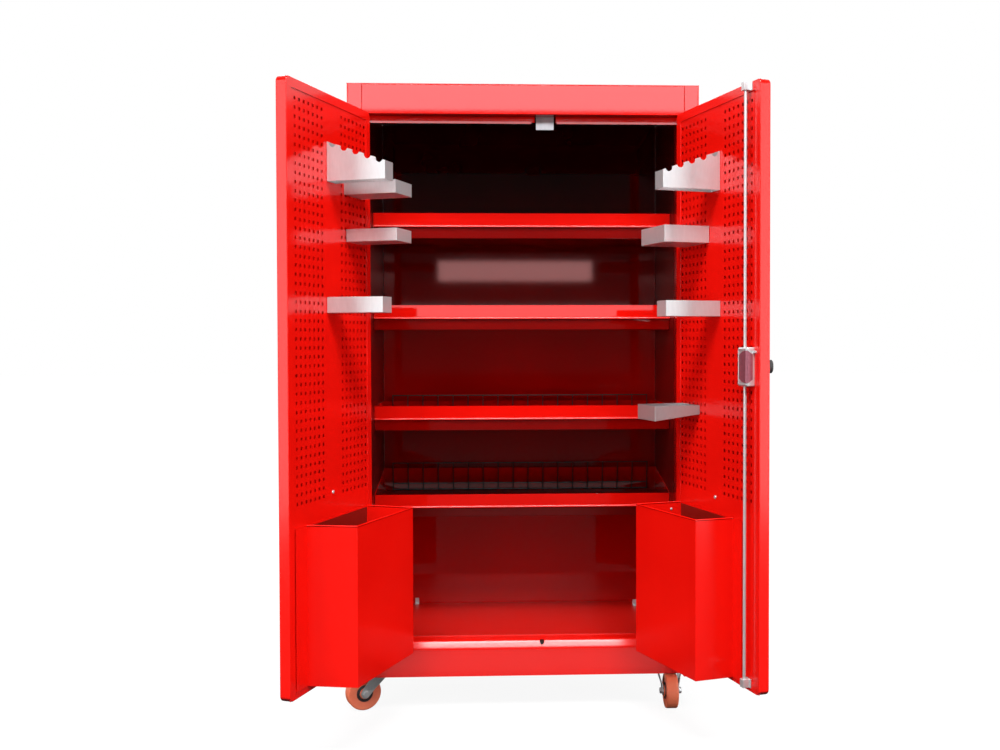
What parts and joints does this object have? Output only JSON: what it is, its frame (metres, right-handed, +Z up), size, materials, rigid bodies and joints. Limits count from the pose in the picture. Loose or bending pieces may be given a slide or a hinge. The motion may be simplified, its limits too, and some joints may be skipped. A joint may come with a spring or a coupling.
{
  "type": "tool cabinet",
  "caption": "Tall red steel tool cabinet on swivel casters, with two perforated doors that carry holders and bins, deep trays inside and a rod lock.",
  "frame": {"origin": "on the ground, at the centre in plan of everything with both doors open as pictured", "axes": "+X to the right of someone facing the doors, +Y to the back of the cabinet, +Z up"},
  "size_m": [1.2181, 0.961, 1.8],
  "materials": {
    "red_paint": "gloss",
    "zinc_steel": "satin",
    "black_wire": "satin",
    "wheel_orange": "satin",
    "knob_black": "satin"
  },
  "bodies": {
    "cabinet": {"back_panel": "red_paint", "base_pan": "red_paint", "front_left_caster_plate": "zinc_steel", "front_right_caster_plate": "zinc_steel", "header_rail": "red_paint", "left_caster_beam": "red_paint", "left_hinge_pin_1": "red_paint", "left_hinge_pin_2": "red_paint", "left_hinge_pin_3": "red_paint", "left_side": "red_paint", "rear_left_caster_plate": "zinc_steel", "rear_right_caster_plate": "zinc_steel", "right_caster_beam": "red_paint", "right_hinge_pin_1": "red_paint", "right_hinge_pin_2": "red_paint", "right_hinge_pin_3": "red_paint", "right_side": "red_paint", "rod_striker": "zinc_steel", "top_panel": "red_paint", "tray_1": "red_paint", "tray_2": "red_paint", "tray_3": "red_paint", "tray_3_fence": "black_wire", "tray_4": "red_paint", "tray_4_fence": "black_wire"},
    "left_door": {"left_bin": "red_paint", "left_box_bracket": "zinc_steel", "left_door_pan": "red_paint", "left_door_panel": "red_paint", "left_shelf_tray": "zinc_steel", "left_small_tray": "zinc_steel", "left_spanner_rack": "zinc_steel"},
    "right_door": {"lock_case": "zinc_steel", "lower_rod_guide": "zinc_steel", "right_bin": "red_paint", "right_box_bracket": "zinc_steel", "right_door_pan": "red_paint", "right_door_panel": "red_paint", "right_low_tray": "zinc_steel", "right_shelf_tray": "zinc_steel", "right_spanner_rack": "zinc_steel", "upper_rod_guide": "zinc_steel"},
    "lock_handle": {"lock_pinion": "zinc_steel", "lock_knob": "knob_black"},
    "upper_rod": {"upper_lock_rod": "zinc_steel"},
    "lower_rod": {"lower_lock_rod": "zinc_steel"},
    "front_left_swivel": {"front_left_fork": "zinc_steel", "front_left_axle": "zinc_steel"},
    "front_left_roller": {"front_left_wheel": "wheel_orange"},
    "front_right_swivel": {"front_right_fork": "zinc_steel", "front_right_axle": "zinc_steel"},
    "front_right_roller": {"front_right_wheel": "wheel_orange"},
    "rear_left_swivel": {"rear_left_fork": "zinc_steel", "rear_left_axle": "zinc_steel"},
    "rear_left_roller": {"rear_left_wheel": "wheel_orange"},
    "rear_right_swivel": {"rear_right_fork": "zinc_steel", "rear_right_axle": "zinc_steel"},
    "rear_right_roller": {"rear_right_wheel": "wheel_orange"}
  },
  "joints": [
    {"name": "left_door_swing", "type": "hinge", "parent": "cabinet", "child": "left_door", "pos_m": [-0.46486, -0.02652, 0.95], "axis": [0, 0, 1], "range_deg": [-55, 109.3]},
    {"name": "right_door_swing", "type": "hinge", "parent": "cabinet", "child": "right_door", "pos_m": [0.46314, -0.02652, 0.95], "axis": [0, 0, 1], "range_deg": [-106.5, 55]},
    {"name": "lock_turn", "type": "hinge", "parent": "right_door", "child": "lock_handle", "pos_m": [0.57402, -0.42546, 1.008], "axis": [0.9588, 0.284, 0], "range_deg": [0, 90]},
    {"name": "upper_rod_slide", "type": "slide", "parent": "right_door", "child": "upper_rod", "axis": [0, 0, 1], "range_m": [0, 0.0145]},
    {"name": "lower_rod_slide", "type": "slide", "parent": "right_door", "child": "lower_rod", "axis": [0, 0, -1], "range_m": [0, 0.01414]},
    {"name": "front_left_swivel", "type": "hinge", "parent": "cabinet", "child": "front_left_swivel", "pos_m": [-0.42685, 0.07248, 0.115], "axis": [0, 0, 1], "continuous": true},
    {"name": "front_left_roll", "type": "hinge", "parent": "front_left_swivel", "child": "front_left_roller", "pos_m": [-0.47217, 0.05135, 0.05], "axis": [0.4226, -0.9063, 0], "continuous": true},
    {"name": "front_right_swivel", "type": "hinge", "parent": "cabinet", "child": "front_right_swivel", "pos_m": [0.42514, 0.07248, 0.115], "axis": [0, 0, 1], "continuous": true},
    {"name": "front_right_roll", "type": "hinge", "parent": "front_right_swivel", "child": "front_right_roller", "pos_m": [0.42514, 0.02248, 0.05], "axis": [1, 0, 0], "continuous": true},
    {"name": "rear_left_swivel", "type": "hinge", "parent": "cabinet", "child": "rear_left_swivel", "pos_m": [-0.42685, 0.41898, 0.115], "axis": [0, 0, 1], "continuous": true},
    {"name": "rear_left_roll", "type": "hinge", "parent": "rear_left_swivel", "child": "rear_left_roller", "pos_m": [-0.47384, 0.43608, 0.05], "axis": [-0.342, -0.9397, 0], "continuous": true},
    {"name": "rear_right_swivel", "type": "hinge", "parent": "cabinet", "child": "rear_right_swivel", "pos_m": [0.42514, 0.41898, 0.115], "axis": [0, 0, 1], "continuous": true},
    {"name": "rear_right_roll", "type": "hinge", "parent": "rear_right_swivel", "child": "rear_right_roller", "pos_m": [0.47213, 0.43608, 0.05], "axis": [-0.342, 0.9397, 0], "continuous": true}
  ],
  "couplings": [
    {"joint": "upper_rod_slide", "follows": "lower_rod_slide", "ratio": 1},
    {"joint": "lock_turn", "follows": "lower_rod_slide", "rad_per_m": 111.11}
  ]
}
